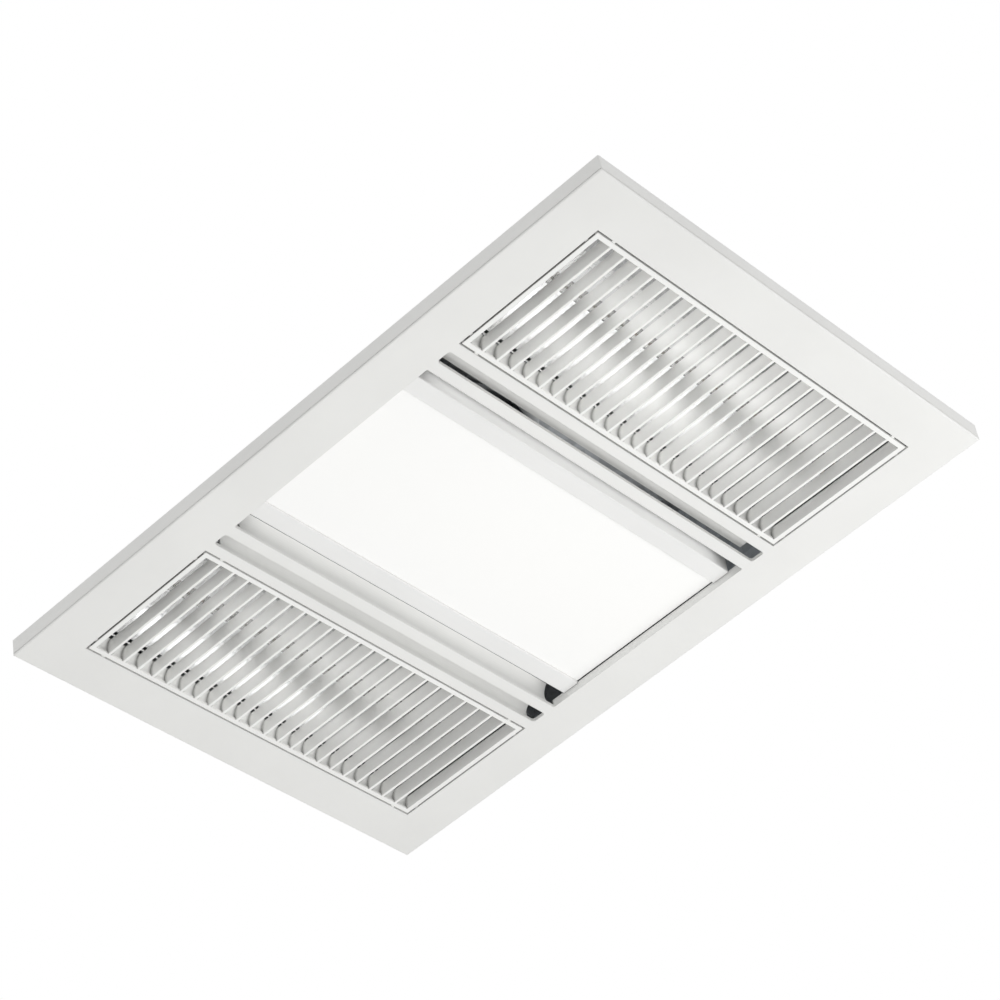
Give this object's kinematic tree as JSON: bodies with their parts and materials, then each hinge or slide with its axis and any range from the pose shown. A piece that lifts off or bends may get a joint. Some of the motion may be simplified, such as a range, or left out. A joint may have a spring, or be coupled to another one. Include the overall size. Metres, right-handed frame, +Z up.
{
  "type": "bathroom heater exhaust fan",
  "caption": "Ceiling unit with louvred radiant heaters either side of a light panel, an exhaust fan above it, and a round duct outlet with a backdraft flap.",
  "frame": {"origin": "middle of the fascia, in the plane of the ceiling that its rim meets", "axes": "+Z up into the ceiling, +X across the two heaters towards the wiring box, +Y along the light towards the duct outlet"},
  "size_m": [0.59, 0.4396, 0.2205],
  "materials": {
    "face_white": "fine satin moulded",
    "louvre_white": "fine satin moulded",
    "guide_white": "fine satin moulded",
    "hanger_steel": "zinc plated",
    "galvanised": "galvanised sheet",
    "rivet_aluminium": "plain",
    "guide_black": "moulded",
    "reflector_metal": "polished",
    "post_steel": "zinc plated",
    "quartz": "clear quartz",
    "element": "oxidised",
    "ceramic": "unglazed ceramic",
    "clip_steel": "zinc plated",
    "cutout_body": "moulded phenolic",
    "inlet_plastic": "moulded",
    "scroll_metal": "galvanised sheet",
    "wheel_plastic": "moulded",
    "shaft_steel": "ground",
    "nut_brass": "machined",
    "motor_paint": "semi-gloss black",
    "plate_steel": "zinc plated",
    "bearing_steel": "ground",
    "screw_zinc": "zinc plated",
    "capacitor_case": "moulded",
    "gasket_foam": "closed-cell foam",
    "spigot_plastic": "moulded",
    "flap_plastic": "moulded",
    "rail_white": "powder coat",
    "diffuser": "opal",
    "tray_metal": "mill finish",
    "led_board": "white solder mask",
    "driver_case": "moulded",
    "strap_steel": "galvanised sheet",
    "terminal_case": "moulded",
    "terminal_nylon": "nylon",
    "gland_nylon": "nylon"
  },
  "bodies": {
    "housing": {"mounting_frame": "galvanised", "frame_rivets": "rivet_aluminium", "fan_box": "galvanised", "heater_box_left": "galvanised", "heater_box_right": "galvanised", "hanger_guides": "guide_black", "reflector_left": "reflector_metal", "reflector_right": "reflector_metal", "reflector_stays": "post_steel", "heater_tube_left": "quartz", "heater_tube_right": "quartz", "heater_elements": "element", "tube_caps": "ceramic", "tube_brackets": "clip_steel", "thermal_cutouts": "cutout_body", "inlet_plate": "galvanised", "inlet_ring": "inlet_plastic", "fan_scroll": "scroll_metal", "motor_body": "motor_paint", "motor_plate": "plate_steel", "motor_bearing": "bearing_steel", "motor_screws": "screw_zinc", "capacitor": "capacitor_case", "capacitor_clip": "clip_steel", "duct_gasket": "gasket_foam", "duct_spigot": "spigot_plastic", "duct_screws": "screw_zinc", "damper_pin": "shaft_steel", "light_rail_left": "rail_white", "light_rail_right": "rail_white", "light_diffuser": "diffuser", "light_tray": "tray_metal", "led_strips": "led_board", "light_driver": "driver_case", "light_straps": "strap_steel", "light_posts": "post_steel", "terminal_base": "terminal_case", "terminal_cover": "terminal_case", "terminal_block": "terminal_nylon", "cable_gland": "gland_nylon", "cover_screws": "screw_zinc"},
    "fascia": {"fascia_panel": "face_white", "louvre_left": "louvre_white", "louvre_right": "louvre_white", "air_guide_left": "guide_white", "air_guide_right": "guide_white", "fascia_hangers": "hanger_steel"},
    "impeller": {"impeller_wheel": "wheel_plastic", "motor_shaft": "shaft_steel", "wheel_nut": "nut_brass"},
    "damper": {"damper_flap": "flap_plastic"}
  },
  "joints": [
    {"name": "fascia_drop", "type": "slide", "parent": "housing", "child": "fascia", "axis": [0, 0, -1], "range_m": [0, 0.05]},
    {"name": "impeller_spin", "type": "hinge", "parent": "housing", "child": "impeller", "pos_m": [0, -0.022, 0.15], "axis": [0, 0, 1], "continuous": true},
    {"name": "damper_swing", "type": "hinge", "parent": "housing", "child": "damper", "pos_m": [0.065, 0.188, 0.1765], "axis": [1, 0, 0], "range_deg": [0, 60]}
  ]
}
